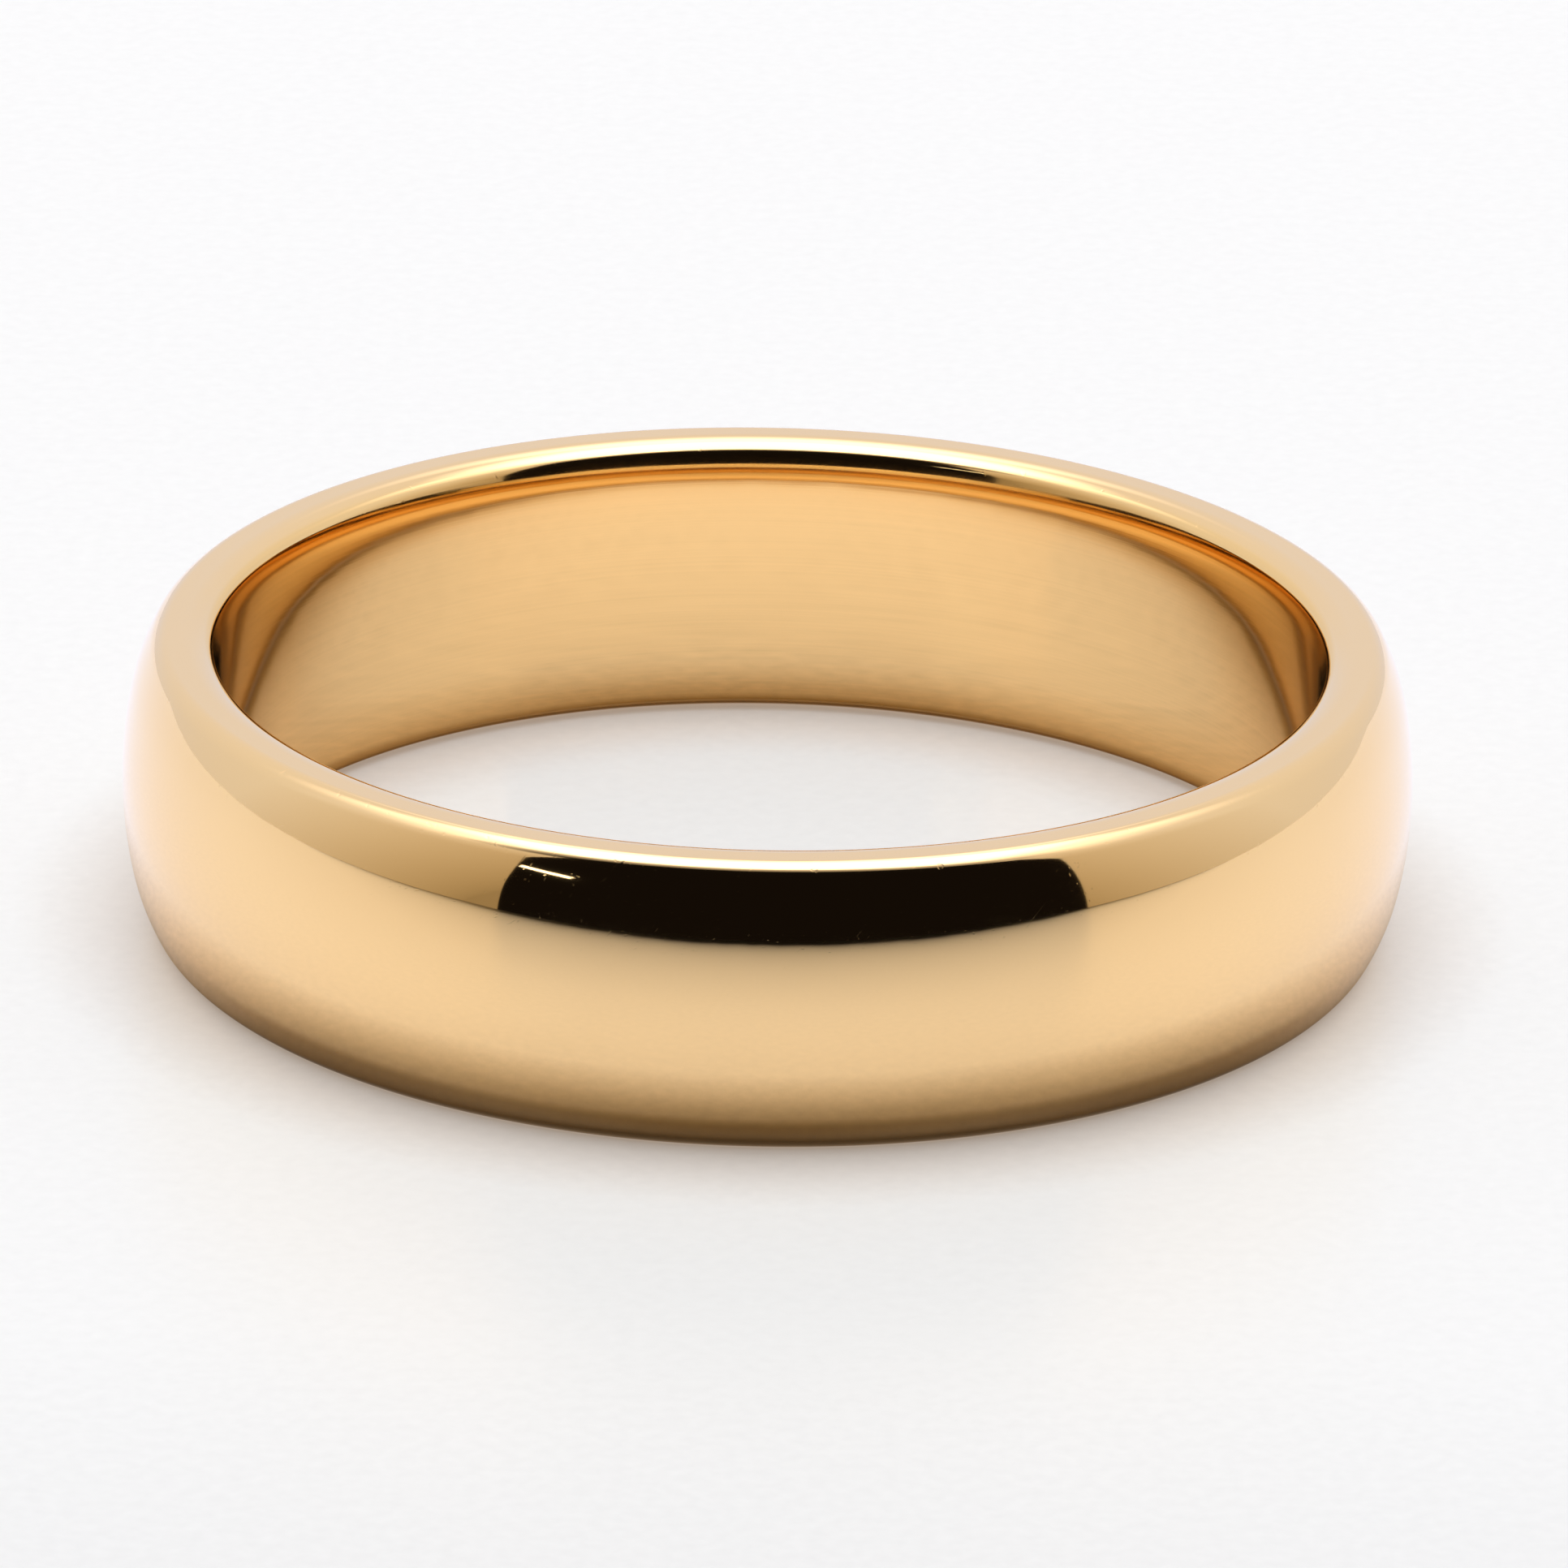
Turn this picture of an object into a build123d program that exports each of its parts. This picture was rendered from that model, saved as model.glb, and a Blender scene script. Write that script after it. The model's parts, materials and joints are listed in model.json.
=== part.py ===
from build123d import *
from math import cos, radians, sin
import os

# A plain wedding band, made in one piece: domed outside, a narrow flat side face on each
# side and a comfort-fit bore that opens a little towards them. It lies on a side face, with
# its origin at the centre of that face and +Z along the axis that the finger goes through.

# Driving dimensions, in millimetres
BORE_DIAMETER = 18.5
BAND_WIDTH = 5.0
BAND_THICKNESS = 1.6
SWELL_RADIUS = 13.0
COMFORT_RADIUS = 2.2
LIP_RADIUS = 0.25
RIM_RADIUS = 0.7
EDGE_RADIUS = 0.25
SHOULDER_RADIUS = 0.5
HAUNCH_RADIUS = 3.2

# Slope of the surface where one arc hands over to the next, in degrees off the side face:
# inwards the rim, lip, comfort curve and swell, outwards the edge, shoulder and haunch
RIM_SLOPE = 32.0
LIP_SLOPE = 76.0
COMFORT_SLOPE = 86.5
EDGE_SLOPE = 34.0
SHOULDER_SLOPE = 62.0
HAUNCH_SLOPE = 78.0
WALL_SLOPE = 90.0


def rise(radius, slope_from, slope_to):
    """Height that an arc covers between two slopes."""
    return radius * (cos(radians(slope_from)) - cos(radians(slope_to)))


def reach(radius, slope_from, slope_to):
    """Distance from the finger axis that an arc covers between two slopes."""
    return radius * (sin(radians(slope_to)) - sin(radians(slope_from)))


# The bore's side: what the four arcs leave of the half width is straight wall
bore_radius = BORE_DIAMETER / 2
half_width = BAND_WIDTH / 2
inner_arcs = (
    (RIM_RADIUS, 0.0, RIM_SLOPE),
    (LIP_RADIUS, RIM_SLOPE, LIP_SLOPE),
    (COMFORT_RADIUS, LIP_SLOPE, COMFORT_SLOPE),
    (SWELL_RADIUS, COMFORT_SLOPE, WALL_SLOPE),
)
wall_half_length = half_width - sum(rise(*arc) for arc in inner_arcs)

# The outside: the dome takes the height that the other three arcs leave
outer_arcs = (
    (EDGE_RADIUS, 0.0, EDGE_SLOPE),
    (SHOULDER_RADIUS, EDGE_SLOPE, SHOULDER_SLOPE),
    (HAUNCH_RADIUS, SHOULDER_SLOPE, HAUNCH_SLOPE),
)
dome_half_angle = WALL_SLOPE - HAUNCH_SLOPE
dome_height = half_width - sum(rise(*arc) for arc in outer_arcs)
dome_radius = dome_height / sin(radians(dome_half_angle))
dome_centre = bore_radius + BAND_THICKNESS - dome_radius

# The side face is the thickness that the arcs on both sides leave
inner_reach = sum(reach(*arc) for arc in inner_arcs)
outer_reach = sum(reach(*arc) for arc in outer_arcs)
dome_reach = reach(dome_radius, HAUNCH_SLOPE, WALL_SLOPE)
side_width = BAND_THICKNESS - inner_reach - outer_reach - dome_reach

# In the section, X is the distance from the finger axis and Y the height over mid-width
section_plane = Plane(origin=(0, 0, half_width), x_dir=(1, 0, 0), z_dir=(0, -1, 0))

with BuildPart() as band:
    with BuildSketch(section_plane) as section:
        with BuildLine():
            # One side of the band, from the bore wall over the side face to the dome
            swell = CenterArc(
                (bore_radius + SWELL_RADIUS, wall_half_length),
                SWELL_RADIUS,
                180,
                COMFORT_SLOPE - WALL_SLOPE,
            )
            comfort = JernArc(swell @ 1, swell % 1, COMFORT_RADIUS, LIP_SLOPE - COMFORT_SLOPE)
            lip = JernArc(comfort @ 1, comfort % 1, LIP_RADIUS, RIM_SLOPE - LIP_SLOPE)
            rim = JernArc(lip @ 1, lip % 1, RIM_RADIUS, -RIM_SLOPE)
            side = Line(rim @ 1, rim @ 1 + Vector(side_width, 0))
            edge = JernArc(side @ 1, side % 1, EDGE_RADIUS, -EDGE_SLOPE)
            shoulder = JernArc(edge @ 1, edge % 1, SHOULDER_RADIUS, EDGE_SLOPE - SHOULDER_SLOPE)
            JernArc(shoulder @ 1, shoulder % 1, HAUNCH_RADIUS, SHOULDER_SLOPE - HAUNCH_SLOPE)
            mirror(about=Plane.XZ)
            # The bore wall and the dome cross mid-width in one stretch each
            Line((bore_radius, -wall_half_length), (bore_radius, wall_half_length))
            CenterArc((dome_centre, 0), dome_radius, -dome_half_angle, 2 * dome_half_angle)
        make_face()
    revolve(axis=Axis.Z)

band.part.label = "band"

os.makedirs("parts", exist_ok=True)
export_step(band.part, "parts/band.step")

print("volume, mm3:", round(band.part.volume, 2))
print("straight bore wall length, mm:", round(2 * wall_half_length, 3))
print("side face, mm from the axis:", round((side @ 0).X, 3), "to", round((side @ 1).X, 3))
print("dome radius, mm:", round(dome_radius, 3))
print("diameter across the lips, mm:", round(2 * (lip @ 1).X, 3))
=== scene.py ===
import json
from math import cos, pi, radians, sin

import bpy
from mathutils import Matrix, Vector

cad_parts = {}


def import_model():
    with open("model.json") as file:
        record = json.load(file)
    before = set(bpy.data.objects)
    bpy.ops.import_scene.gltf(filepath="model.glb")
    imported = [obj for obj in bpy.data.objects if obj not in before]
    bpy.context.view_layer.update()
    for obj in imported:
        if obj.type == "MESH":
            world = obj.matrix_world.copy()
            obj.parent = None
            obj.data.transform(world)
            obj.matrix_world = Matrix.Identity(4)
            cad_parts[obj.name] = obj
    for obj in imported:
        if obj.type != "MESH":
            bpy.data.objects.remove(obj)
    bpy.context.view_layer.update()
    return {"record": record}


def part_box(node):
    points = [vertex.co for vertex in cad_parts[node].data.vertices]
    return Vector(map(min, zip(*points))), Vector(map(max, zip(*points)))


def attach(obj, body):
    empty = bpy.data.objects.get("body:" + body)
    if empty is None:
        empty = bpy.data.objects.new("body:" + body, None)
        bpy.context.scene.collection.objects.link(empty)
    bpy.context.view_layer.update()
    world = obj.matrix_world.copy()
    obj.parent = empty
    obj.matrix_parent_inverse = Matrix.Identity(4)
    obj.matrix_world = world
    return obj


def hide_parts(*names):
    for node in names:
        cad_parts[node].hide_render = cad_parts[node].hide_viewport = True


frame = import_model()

MM = 0.001

# The band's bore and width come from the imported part
low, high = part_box("band")
bore = next(m for m in frame["record"]["mounts"] if m["name"] == "finger_bore")
BORE_RADIUS = bore["dims"]["r_mm"] * MM
BAND_WIDTH = high.z - low.z
MID_HEIGHT = (low.z + high.z) / 2

# The section's curves, as in the part: radius of each arc, and the slope where it ends
BAND_THICKNESS = 1.6 * MM
RIM_RADIUS = 0.7 * MM
LIP_RADIUS = 0.25 * MM
COMFORT_RADIUS = 2.2 * MM
SWELL_RADIUS = 13.0 * MM
EDGE_RADIUS = 0.25 * MM
SHOULDER_RADIUS = 0.5 * MM
HAUNCH_RADIUS = 3.2 * MM
RIM_SLOPE = radians(32)
LIP_SLOPE = radians(76)
COMFORT_SLOPE = radians(86.5)
EDGE_SLOPE = radians(34)
SHOULDER_SLOPE = radians(62)
HAUNCH_SLOPE = radians(78)
WALL_SLOPE = radians(90)

TURNS = 384          # steps round the band

# Camera: where it stands and what it sees
CAMERA_DISTANCE = 233.6 * MM
CAMERA_ELEVATION = radians(21.54)
CAMERA_LENS = 318.5
CAMERA_ROLL = -0.0198
CAMERA_YAW = -0.0012
CAMERA_PITCH = -0.0007

# Light tent, in metres: open at the front, with its light in the ceiling
FRONT = 1.12
LEFT = 1.19
RIGHT = 1.75
BACK = 3.3
HEIGHT = 2.2

# What the tent gives off: the bright middle overhead, its arms, and the cloth from front to back
MIDDLE_STRENGTH = 1.9
BACK_STRENGTH = 1.35
SIDE_STRENGTH = 0.85
CLOTH_FRONT = 0.42
CLOTH_GAIN = 0.58
CLOTH_WARM = (1.0, 0.785, 0.51)
CLOTH_WHITE = (1.0, 0.972, 1.04)
HEM_DARK = 0.04
HEM_BRIGHT = 0.62

# The dark room before the tent, and its two lamps
ROOM_COLOUR = (0.0065, 0.005, 0.0045)
LAMP_NEAR = ((-3.10, -2.98, 2.0), (-2.62, -3.64, 2.0))
LAMP_FAR = ((-4.20, -3.45, 2.0), (-4.05, -3.70, 2.0))
LAMP_WIDTH = 0.22
LAMP_COLOUR = (1, 0.96, 0.88)
LAMP_STRENGTH = 4.0

# White board, with painted shade: it is painted dark at DARK_END and fully lit from LIT_END on
DARK_END = -0.26
LIT_END = -0.018
LIT_POWER = 1.4
FLOOR_ALBEDO = 0.94
FLOOR_GLOSS_ROUGHNESS = 0.3
GRAIN_CELLS = (3600, 3600, 3600)
GRAIN_SEEN = 0.08
GRAIN_MIRRORED = 0.2

# The board beside the band: how far the painted contact shade reaches, how dark it gets, its colours
CONTACT_REACH = 2.2 * MM
CONTACT_LOWEST = 0.15
CONTACT_INSIDE = 0.36
CONTACT_OUTSIDE = 1.1
CONTACT_SHADE_BROWN = (1.0, 0.70, 0.24)
CONTACT_WHITE = (1.0, 1.0, 1.01)
# Painted shade: the brown line along the band's foot, and where it starts and is full
FOOT_SHADE_BROWN = (0.57, 0.46, 0.27)
FOOT_SHADE_START = 1.04 * MM
FOOT_SHADE_FULL = 0.72 * MM
# Painted glow inside the deepest contact shade: its strength mirrored and seen, and how tight it is
SHADE_GLOW_MIRRORED = 0.4
SHADE_GLOW_SEEN = 0.03
SHADE_GLOW_POWER = 6.0

# The directly seen board: the share that shadows don't reach, and its own light in their place
FLOOR_LIFT = 0.65
FLOOR_GLOW = 0.54
SEEN_CONTACT = 0.36
SEEN_TINT = (1, 1.02, 0.97)
GLOW_WARM = (1.0, 0.80, 0.64)
GLOW_WHITE = (1.0, 1.01, 1.01)

# Gold: its colour, textures in cells a metre, and heights in micrometres
MICROMETRE = 1e-6
GOLD_COLOUR = (0.98, 0.69, 0.315)
COAT_ROUGHNESS = 0.03
COAT_IOR = 1.6
DRAWN_CELLS = (120, 120, 26000)
SMUDGE_CELLS = (380, 380, 380)
SPECK_CELLS = (4200, 4200, 4200)
HAIRLINE_CELLS = (110, 16000, 16000)
HAIRLINE_TURNS = ((0.5, 0.2, 0.9), (-0.7, 0.4, 2.3))
SMUDGE_HEIGHT = 5.0
DRAWN_HEIGHT = 0.25
NICK_DEPTH = 1.2
HAIRLINE_DEPTH = 0.15


def curve(start, direction, arcs):
    """Points of arcs that leave the side face inwards (-1) or outwards (1), first point left out."""
    x, y = start
    points = []
    for radius, slope_from, slope_to, steps in arcs:
        for i in range(1, steps + 1):
            slope = slope_from + (slope_to - slope_from) * i / steps
            reach = radius * (sin(slope) - sin(slope_from))
            drop = radius * (cos(slope_from) - cos(slope))
            points.append((x + direction * reach, y - drop))
        x, y = points[-1]
    return points


def straight(start, end, steps):
    """Points of a straight run, closer together at its ends, first point left out."""
    shares = [(1 - cos(pi * i / steps)) / 2 for i in range(1, steps + 1)]
    return [(start[0] + (end[0] - start[0]) * s, start[1] + (end[1] - start[1]) * s) for s in shares]


def section():
    """The band's closed section, as (distance from the axis, height over mid-width)."""
    half = BAND_WIDTH / 2
    inner = curve((0, half), -1, [
        (RIM_RADIUS, 0, RIM_SLOPE, 12),
        (LIP_RADIUS, RIM_SLOPE, LIP_SLOPE, 14),
        (COMFORT_RADIUS, LIP_SLOPE, COMFORT_SLOPE, 10),
        (SWELL_RADIUS, COMFORT_SLOPE, WALL_SLOPE, 8),
    ])
    shift = BORE_RADIUS - inner[-1][0]
    inner = [(shift, half)] + [(x + shift, y) for x, y in inner]

    outer_arcs = [
        (EDGE_RADIUS, 0, EDGE_SLOPE, 10),
        (SHOULDER_RADIUS, EDGE_SLOPE, SHOULDER_SLOPE, 10),
        (HAUNCH_RADIUS, SHOULDER_SLOPE, HAUNCH_SLOPE, 14),
    ]
    haunch_foot = curve((0, half), 1, outer_arcs)[-1][1]
    dome_radius = haunch_foot / cos(HAUNCH_SLOPE)
    outer_arcs.append((dome_radius, HAUNCH_SLOPE, WALL_SLOPE, 20))
    outer = curve((0, half), 1, outer_arcs)
    shift = BORE_RADIUS + BAND_THICKNESS - outer[-1][0]
    outer = [(x + shift, y) for x, y in outer]

    side = straight(inner[0], (shift, half), 6)
    upper = inner[::-1] + side + outer
    lower = [(x, -y) for x, y in reversed(upper[:-1])]
    wall = straight(lower[-1], upper[0], 14)[:-1]
    return upper + lower + wall


def make_band():
    """The band's surface, turned round the axis from its section."""
    points = section()
    vertices = []
    for k in range(TURNS):
        a = 2 * pi * k / TURNS
        vertices += [(x * cos(a), x * sin(a), MID_HEIGHT + y) for x, y in points]
    n = len(points)
    faces = []
    for k in range(TURNS):
        this, after = k * n, (k + 1) % TURNS * n
        for i in range(n):
            j = (i + 1) % n
            faces.append((this + i, after + i, after + j, this + j))
    mesh = bpy.data.meshes.new("wedding_band")
    mesh.from_pydata(vertices, [], faces)
    mesh.shade_smooth()
    piece = bpy.data.objects.new("wedding_band", mesh)
    bpy.context.scene.collection.objects.link(piece)
    return piece


class Nodes:
    """A material with one surface shader, and short calls that add nodes to its tree."""

    def __init__(self, name, surface="ShaderNodeBsdfPrincipled"):
        self.material = bpy.data.materials.new(name)
        self.material.use_nodes = True
        self.tree = self.material.node_tree
        self.tree.nodes.clear()
        self.out = self.tree.nodes.new("ShaderNodeOutputMaterial")
        self.surface = self.tree.nodes.new(surface)
        self.tree.links.new(self.surface.outputs[0], self.out.inputs["Surface"])

    def feed(self, socket, value):
        """Link a socket to another node's output, or give it a plain value."""
        if isinstance(value, bpy.types.NodeSocket):
            self.tree.links.new(value, socket)
        else:
            socket.default_value = value

    def add(self, kind, values=None, **settings):
        """A new node, with values or outputs for its inputs by name or number."""
        node = self.tree.nodes.new(kind)
        for key, value in settings.items():
            setattr(node, key, value)
        for key, value in (values or {}).items():
            self.feed(node.inputs[key], value)
        return node

    def set(self, **values):
        """Feed the surface shader's own sockets."""
        for key, value in values.items():
            self.feed(self.surface.inputs[key.replace("_", " ")], value)

    def math(self, operation, *values):
        """One sum, product or other operation on numbers."""
        return self.add("ShaderNodeMath", dict(enumerate(values)), operation=operation).outputs[0]

    def vector(self, operation, *values):
        """One operation on vectors that gives a vector."""
        node = self.add("ShaderNodeVectorMath", dict(enumerate(values)), operation=operation)
        return node.outputs["Vector"]

    def scaled(self, vector, factor):
        """A vector or colour times a number."""
        values = {"Vector": vector, "Scale": factor}
        return self.add("ShaderNodeVectorMath", values, operation="SCALE").outputs["Vector"]

    def distance_from_axis(self, place):
        """How far a place is from the finger axis."""
        flat = self.vector("MULTIPLY", place, (1, 1, 0))
        return self.add("ShaderNodeVectorMath", {0: flat}, operation="LENGTH").outputs["Value"]

    def ramp(self, value, start, end, low=0.0, high=1.0, kind="SMOOTHSTEP"):
        """From low at start to high at end."""
        values = {"Value": value, "From Min": start, "From Max": end, "To Min": low, "To Max": high}
        return self.add("ShaderNodeMapRange", values, interpolation_type=kind).outputs[0]

    def blend(self, share, low, high):
        """A colour between two colours or outputs, by share."""
        mix = self.add("ShaderNodeMix", {"Factor": share}, data_type="RGBA")
        sockets = {socket.identifier: socket for socket in (*mix.inputs, *mix.outputs)}
        for name, colour in (("A_Color", low), ("B_Color", high)):
            if isinstance(colour, tuple):
                colour = (*colour, 1)
            self.feed(sockets[name], colour)
        return sockets["Result_Color"]

    def noise(self, place, cells, detail):
        """Noise from 0 to 1 with its own number of cells a metre along each axis."""
        grid = self.vector("MULTIPLY", place, cells)
        values = {"Vector": grid, "Scale": 1.0, "Detail": detail}
        return self.add("ShaderNodeTexNoise", values).outputs["Fac"]

    def scratches(self, place, turn):
        """Sparse hairlines that all run about one way."""
        values = {"Vector": place, "Rotation": turn}
        turned = self.add("ShaderNodeVectorRotate", values, rotation_type="EULER_XYZ")
        return self.ramp(self.noise(turned.outputs[0], HAIRLINE_CELLS, detail=1), 0.70, 0.78)


def gold():
    """Polished yellow gold: a mirror outside with light wear, finely drawn lines round the bore."""
    n = Nodes("polished_gold")
    place = n.add("ShaderNodeTexCoord").outputs["Object"]
    up = n.add("ShaderNodeSeparateXYZ", {"Vector": place}).outputs["Z"]
    radius = n.distance_from_axis(place)
    outside = n.ramp(radius, BORE_RADIUS + 0.15 * MM, BORE_RADIUS + 0.25 * MM)
    inside = n.math("SUBTRACT", 1.0, outside)

    drawn = n.noise(place, DRAWN_CELLS, detail=2)
    smudges = n.noise(place, SMUDGE_CELLS, detail=3)
    specks = n.noise(place, SPECK_CELLS, detail=2)
    hairlines = n.math("MAXIMUM", *(n.scratches(place, turn) for turn in HAIRLINE_TURNS))
    hairlines = n.math("MULTIPLY", hairlines, outside)

    # The lip and the outer edge take the knocks
    height = n.math("ABSOLUTE", n.math("SUBTRACT", up, MID_HEIGHT))
    high = n.ramp(height, BAND_WIDTH / 2 - 0.45 * MM, BAND_WIDTH / 2 - 0.15 * MM)
    off_lip = n.math("ABSOLUTE", n.math("SUBTRACT", radius, BORE_RADIUS + 0.18 * MM))
    off_edge = n.math("ABSOLUTE", n.math("SUBTRACT", radius, BORE_RADIUS + 1.02 * MM))
    lip = n.ramp(off_lip, 0.14 * MM, 0.04 * MM)
    edge = n.ramp(off_edge, 0.20 * MM, 0.06 * MM)
    worn = n.math("MULTIPLY", n.math("MAXIMUM", lip, edge), high)
    nicks = n.math("MULTIPLY", n.ramp(specks, 0.66, 0.74), worn)

    surface = n.math("MULTIPLY", smudges, SMUDGE_HEIGHT)
    lines = n.math("MULTIPLY", drawn, inside)
    surface = n.math("ADD", surface, n.math("MULTIPLY", lines, DRAWN_HEIGHT))
    surface = n.math("SUBTRACT", surface, n.math("MULTIPLY", nicks, NICK_DEPTH))
    surface = n.math("SUBTRACT", surface, n.math("MULTIPLY", hairlines, HAIRLINE_DEPTH))
    relief = {"Height": surface, "Strength": 1.0, "Distance": MICROMETRE}
    bump = n.add("ShaderNodeBump", relief).outputs["Normal"]

    # Smudges, drawn lines, worn edges and hairlines each soften the gloss a little
    rough = n.math("MULTIPLY_ADD", n.ramp(smudges, 0.3, 0.75), 0.025, 0.025)
    rough = n.math("ADD", rough, n.math("MULTIPLY", inside, n.math("MULTIPLY_ADD", drawn, 0.06, 0.01)))
    rough = n.math("ADD", rough, n.math("MULTIPLY", worn, 0.03))
    rough = n.math("ADD", rough, n.math("MULTIPLY", hairlines, 0.08))

    # The colour is a shade lighter or darker with the smudges and the drawn lines
    tone = n.math("MULTIPLY_ADD", smudges, 0.03, 0.985)
    shades = n.math("MULTIPLY", n.math("SUBTRACT", drawn, 0.5), inside)
    tone = n.math("MULTIPLY", tone, n.math("MULTIPLY_ADD", shades, 0.10, 1.0))
    n.set(Base_Color=n.scaled(GOLD_COLOUR, tone), Metallic=1.0, Roughness=rough, Normal=bump)
    n.set(Coat_Weight=outside, Coat_Roughness=COAT_ROUGHNESS, Coat_IOR=COAT_IOR)
    return n.material


def mirrored_board(n, grain, along, radius, contact):
    """The board's colour where the band mirrors it, with painted shade: brown and darker beside the
    metal.
    """
    # How much the contact shade counts: little inside the band, most before its front
    outer = n.ramp(radius, BORE_RADIUS + 0.6 * MM, BORE_RADIUS + 0.8 * MM)
    front = n.ramp(n.math("DIVIDE", along, radius), -0.20, -0.85)
    fall = n.math("MULTIPLY", n.math("MULTIPLY", outer, front), CONTACT_OUTSIDE - CONTACT_INSIDE)
    fall = n.math("ADD", fall, CONTACT_INSIDE)

    # The board's grain shows in the metal only from close by
    sharp = n.ramp(radius, BORE_RADIUS + 4.5 * MM, BORE_RADIUS + 1.0 * MM, high=GRAIN_MIRRORED)
    shade = n.math("MULTIPLY", n.math("POWER", contact, fall), n.math("MULTIPLY_ADD", grain, sharp, 1.0))

    # Painted shade: a brown line lies along both sides of the face that the band rests on
    off_face = n.math("ABSOLUTE", n.math("SUBTRACT", radius, BORE_RADIUS + 0.7 * MM))
    foot_shade = n.math("MAXIMUM", front, n.math("SUBTRACT", 1.0, outer))
    foot_shade = n.math("MULTIPLY", n.ramp(off_face, FOOT_SHADE_START, FOOT_SHADE_FULL), foot_shade)
    # Painted shade colour: the board turns brown where the contact shade is deep
    tint = n.blend(contact, CONTACT_SHADE_BROWN, CONTACT_WHITE)
    tint = n.vector("MULTIPLY", tint, n.blend(foot_shade, (1.0, 1.0, 1.0), FOOT_SHADE_BROWN))
    return n.scaled(tint, shade)


def floor_paper():
    """Semi-gloss white board with painted shade that darkens it slowly towards the tent's open front.

    Seen directly, its shadows are lifted by painted glow, as a retoucher lifts them; the band mirrors it
    as it is lit, with painted contact shade on top.
    """
    n = Nodes("floor")
    place = n.add("ShaderNodeNewGeometry").outputs["Position"]
    along = n.add("ShaderNodeSeparateXYZ", {"Vector": place}).outputs["Y"]
    # Painted shade: the board's colour and glow fall off towards the open front
    near = n.ramp(along, DARK_END, LIT_END, kind="LINEAR")
    grain = n.math("SUBTRACT", n.noise(place, GRAIN_CELLS, detail=2), 0.5)
    lit = n.math("POWER", near, LIT_POWER)
    lit = n.math("MULTIPLY", lit, n.math("MULTIPLY_ADD", grain, GRAIN_SEEN, 1.0))
    seen = n.add("ShaderNodeLightPath").outputs["Is Camera Ray"]
    # Painted shade: ambient occlusion darkens the board beside the band
    open_sky = n.add("ShaderNodeAmbientOcclusion", {"Distance": CONTACT_REACH}, samples=8).outputs["AO"]
    contact = n.math("MAXIMUM", open_sky, CONTACT_LOWEST)

    mirrored = mirrored_board(n, grain, along, n.distance_from_axis(place), contact)
    direct = tuple((1 - FLOOR_LIFT) * share for share in SEEN_TINT)
    albedo = n.blend(seen, mirrored, direct)
    board = n.scaled(albedo, n.math("MULTIPLY", lit, FLOOR_ALBEDO))
    n.set(Base_Color=board, Roughness=FLOOR_GLOSS_ROUGHNESS)

    # Painted glow: the directly seen board gives off light of its own, less where the contact shade
    # falls
    lifted = n.math("MULTIPLY", n.math("POWER", contact, SEEN_CONTACT), FLOOR_GLOW)
    lifted = n.math("MULTIPLY", n.math("MULTIPLY", lifted, lit), seen)
    # Painted glow: the board gives off a little light of its own where the band shades it most
    shade_glow = n.math("POWER", n.math("SUBTRACT", 1.0, open_sky), SHADE_GLOW_POWER)
    level = n.math("MULTIPLY_ADD", seen, SHADE_GLOW_SEEN - SHADE_GLOW_MIRRORED, SHADE_GLOW_MIRRORED)
    glowing = n.math("ADD", lifted, n.math("MULTIPLY", shade_glow, level))
    n.set(Emission_Color=n.blend(contact, GLOW_WARM, GLOW_WHITE), Emission_Strength=glowing)
    return n.material


def glow(name, colour, strength):
    """A surface that only gives off light."""
    n = Nodes(name, "ShaderNodeEmission")
    n.set(Color=(*colour, 1), Strength=strength)
    return n.material


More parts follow.
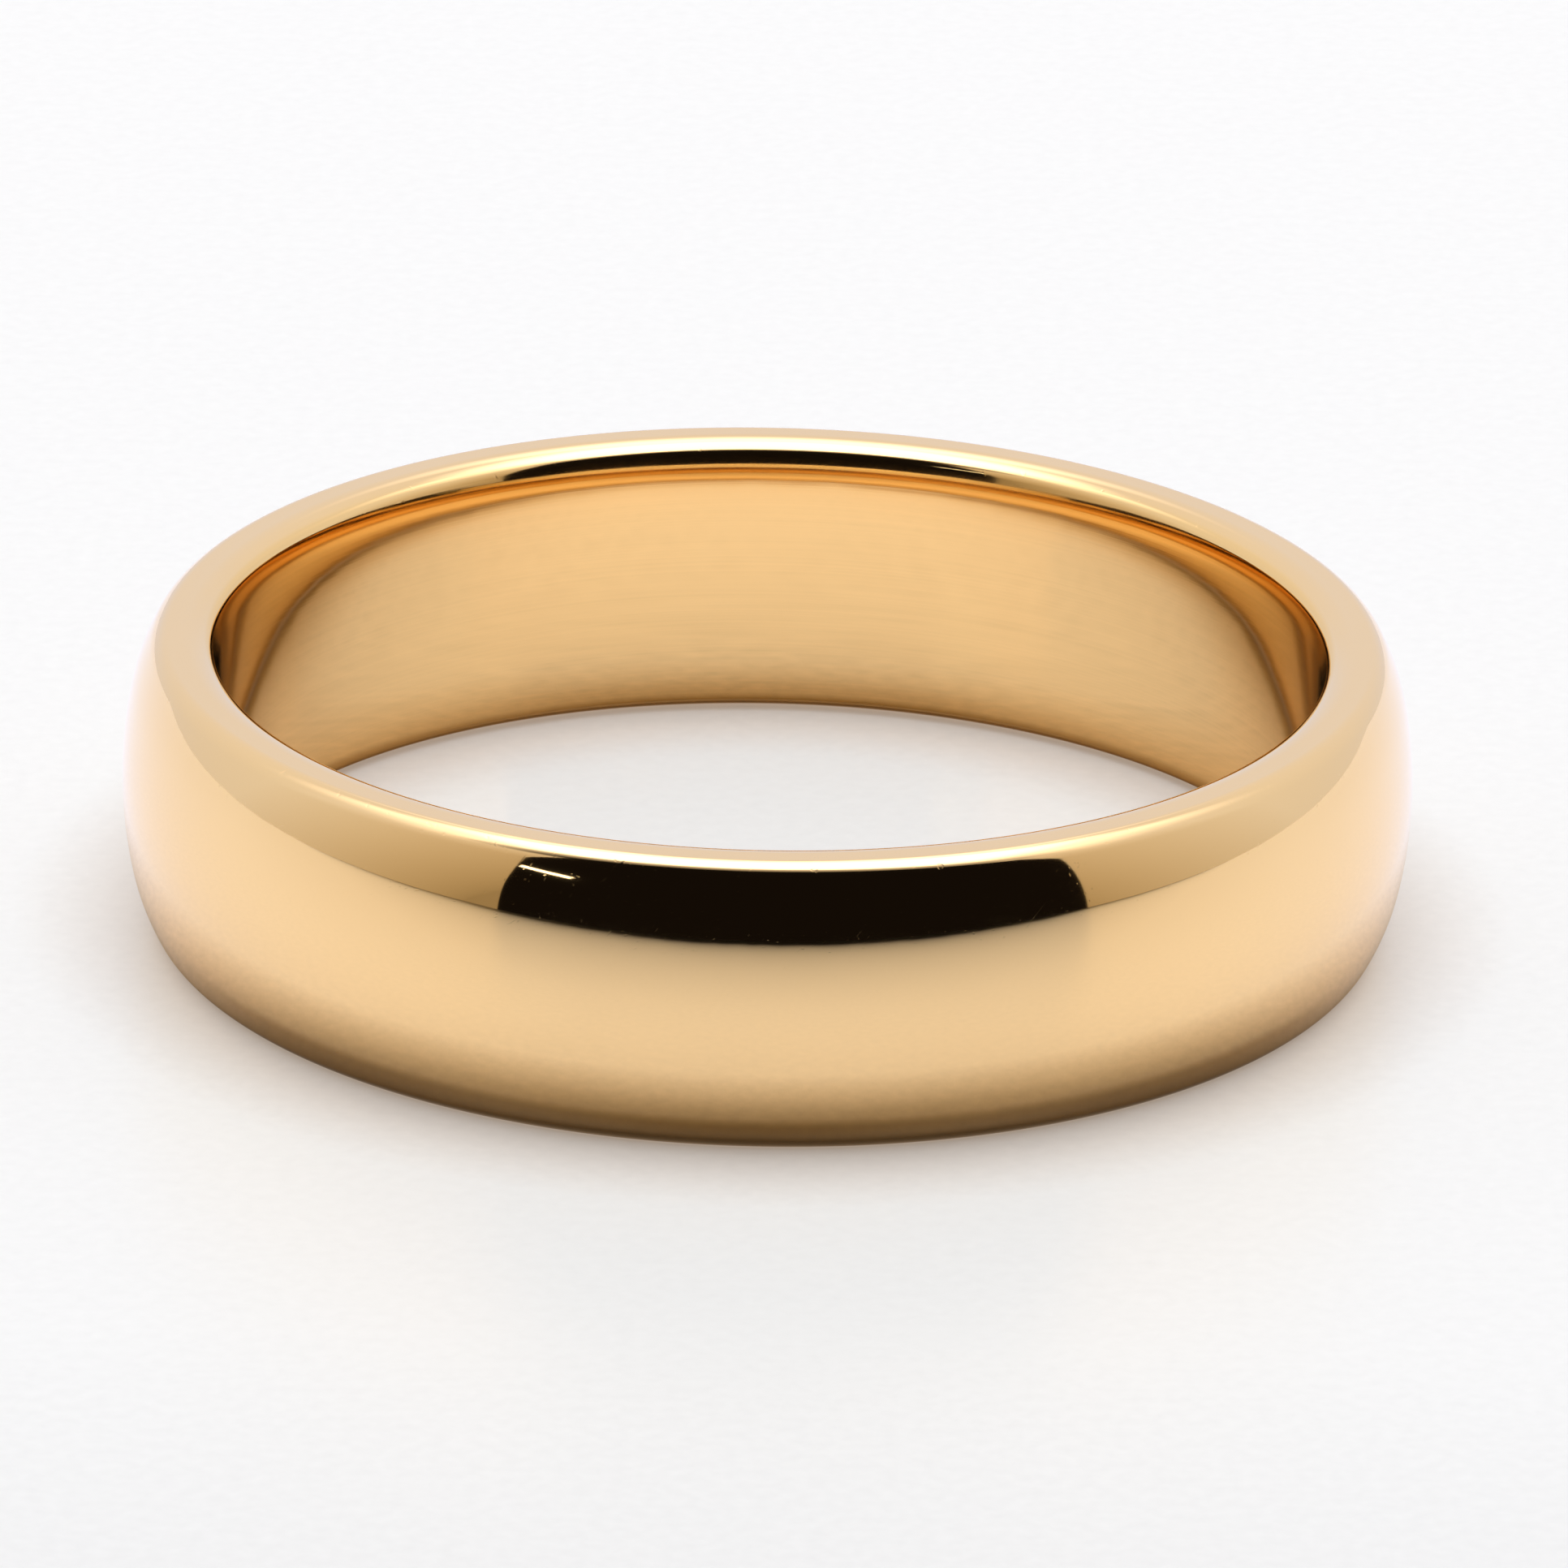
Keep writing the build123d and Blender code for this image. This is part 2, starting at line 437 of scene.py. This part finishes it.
def tent_glow():
    """The tent's inside: a bright round middle overhead with arms to the back and to both sides.

    Its light goes by direction, the unit vector from the origin to the place on the cloth.
    """
    n = Nodes("tent", "ShaderNodeEmission")
    place = n.add("ShaderNodeNewGeometry").outputs["Position"]
    axis = n.add("ShaderNodeSeparateXYZ", {"Vector": n.vector("NORMALIZE", place)}).outputs
    across = n.math("ABSOLUTE", axis["X"])
    off_sides = n.math("ABSOLUTE", n.math("SUBTRACT", axis["Y"], 0.06))
    off_top = n.math("SQRT", n.math("SUBTRACT", 1.0, n.math("POWER", axis["Z"], 2.0)))

    middle = n.ramp(off_top, 0.62, 0.36, high=MIDDLE_STRENGTH)
    back = n.ramp(axis["Y"], 0.82, 0.54, high=BACK_STRENGTH)
    back = n.math("MULTIPLY", n.ramp(across, 0.26, 0.08), back)
    back = n.math("MULTIPLY", back, n.ramp(axis["Y"], 0.0, 0.1))
    sides = n.ramp(across, 0.80, 0.45, high=SIDE_STRENGTH)
    sides = n.math("MULTIPLY", n.ramp(off_sides, 0.40, 0.15), sides)
    lamp = n.math("MAXIMUM", middle, n.math("MAXIMUM", back, sides))

    # The cloth itself, dimmer and warmer low down beside the open front
    depth = n.math("MULTIPLY_ADD", axis["Z"], 0.45, axis["Y"])
    depth = n.ramp(depth, -0.60, 0.30, kind="LINEAR")
    level = n.math("MULTIPLY_ADD", n.math("POWER", depth, 0.6), CLOTH_GAIN, CLOTH_FRONT)
    higher = n.ramp(axis["Z"], 0.0, 0.7, low=0.775, high=0.86, kind="LINEAR")
    inside = n.math("ADD", n.math("MULTIPLY", level, higher), lamp)
    colour = n.blend(depth, CLOTH_WARM, CLOTH_WHITE)

    # Over the open front the ceiling's light ends a little before the cloth does
    slope = n.math("DIVIDE", n.math("MULTIPLY_ADD", axis["X"], 0.06, axis["Y"]), axis["Z"])
    hem = n.ramp(slope, -0.52, -0.35, low=HEM_DARK, high=HEM_BRIGHT, kind="LINEAR")
    front = n.math("MAXIMUM", n.ramp(slope, -0.36, -0.25), n.ramp(axis["Z"], 0.80, 0.72))
    strength = n.add("ShaderNodeMix", {"Factor": front, "A": hem, "B": inside})
    n.set(Color=colour, Strength=strength.outputs[0])
    return n.material


def quad(name, corners, material):
    """A flat stage surface through the given corners."""
    mesh = bpy.data.meshes.new(name)
    mesh.from_pydata([Vector(c) for c in corners], [], [tuple(range(len(corners)))])
    mesh.materials.append(material)
    obj = bpy.data.objects.new(name, mesh)
    bpy.context.scene.collection.objects.link(obj)


def tube(name, ends):
    """A small lamp in the dark room, which shows as a glint in the band's front."""
    start, end = (Vector(p) for p in ends)
    side = (end - start).cross(Vector((0, 0, 1))).normalized() * LAMP_WIDTH / 2
    corners = [start - side, end - side, end + side, start + side]
    quad(name, corners, glow(name, LAMP_COLOUR, LAMP_STRENGTH))


def studio():
    """A light tent, open at the front onto a dark room."""
    inside = tent_glow()
    left_front, right_front = (-LEFT, -FRONT), (RIGHT, -FRONT)
    left_back, right_back = (-LEFT, BACK), (RIGHT, BACK)

    def wall(name, start, end):
        quad(name, [(*start, 0), (*end, 0), (*end, HEIGHT), (*start, HEIGHT)], inside)

    wall("wall_left", left_front, left_back)
    wall("wall_right", right_front, right_back)
    wall("wall_back", left_back, right_back)
    corners = (left_front, right_front, right_back, left_back)
    quad("floor", [(*c, 0) for c in corners], floor_paper())
    quad("ceiling", [(*c, HEIGHT) for c in corners], inside)
    tube("room_lamp_near", LAMP_NEAR)
    tube("room_lamp_far", LAMP_FAR)


def world():
    """The dark room that the tent's front opens onto."""
    room = bpy.data.worlds.new("world")
    bpy.context.scene.world = room
    room.use_nodes = True
    background = room.node_tree.nodes["Background"]
    background.inputs["Color"].default_value = (*ROOM_COLOUR, 1)
    background.inputs["Strength"].default_value = 1.0


def camera():
    """The camera, aimed at mid-width and then turned by its small yaw, pitch and roll."""
    data = bpy.data.cameras.new("camera")
    data.sensor_width = 36.0
    data.lens = CAMERA_LENS
    data.clip_start = 0.01
    data.clip_end = 20
    cam = bpy.data.objects.new("camera", data)
    bpy.context.scene.collection.objects.link(cam)
    back = Vector((0, -cos(CAMERA_ELEVATION), sin(CAMERA_ELEVATION)))
    up = Vector((0, sin(CAMERA_ELEVATION), cos(CAMERA_ELEVATION)))
    forward, right = -back, Vector((1, 0, 0))
    turn = Matrix.Rotation(CAMERA_YAW, 3, up)
    forward, right = turn @ forward, turn @ right
    turn = Matrix.Rotation(CAMERA_PITCH, 3, right)
    forward, up = turn @ forward, turn @ up
    turn = Matrix.Rotation(CAMERA_ROLL, 3, forward)
    right, up = turn @ right, turn @ up
    pose = Matrix((right, up, -forward)).transposed().to_4x4()
    pose.translation = Vector((0, 0, MID_HEIGHT)) + back * CAMERA_DISTANCE
    cam.matrix_world = pose
    bpy.context.scene.camera = cam


band = make_band()
band.data.materials.append(gold())
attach(band, "root")
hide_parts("band")
studio()
world()
camera()
bpy.context.scene.view_settings.view_transform = "Standard"
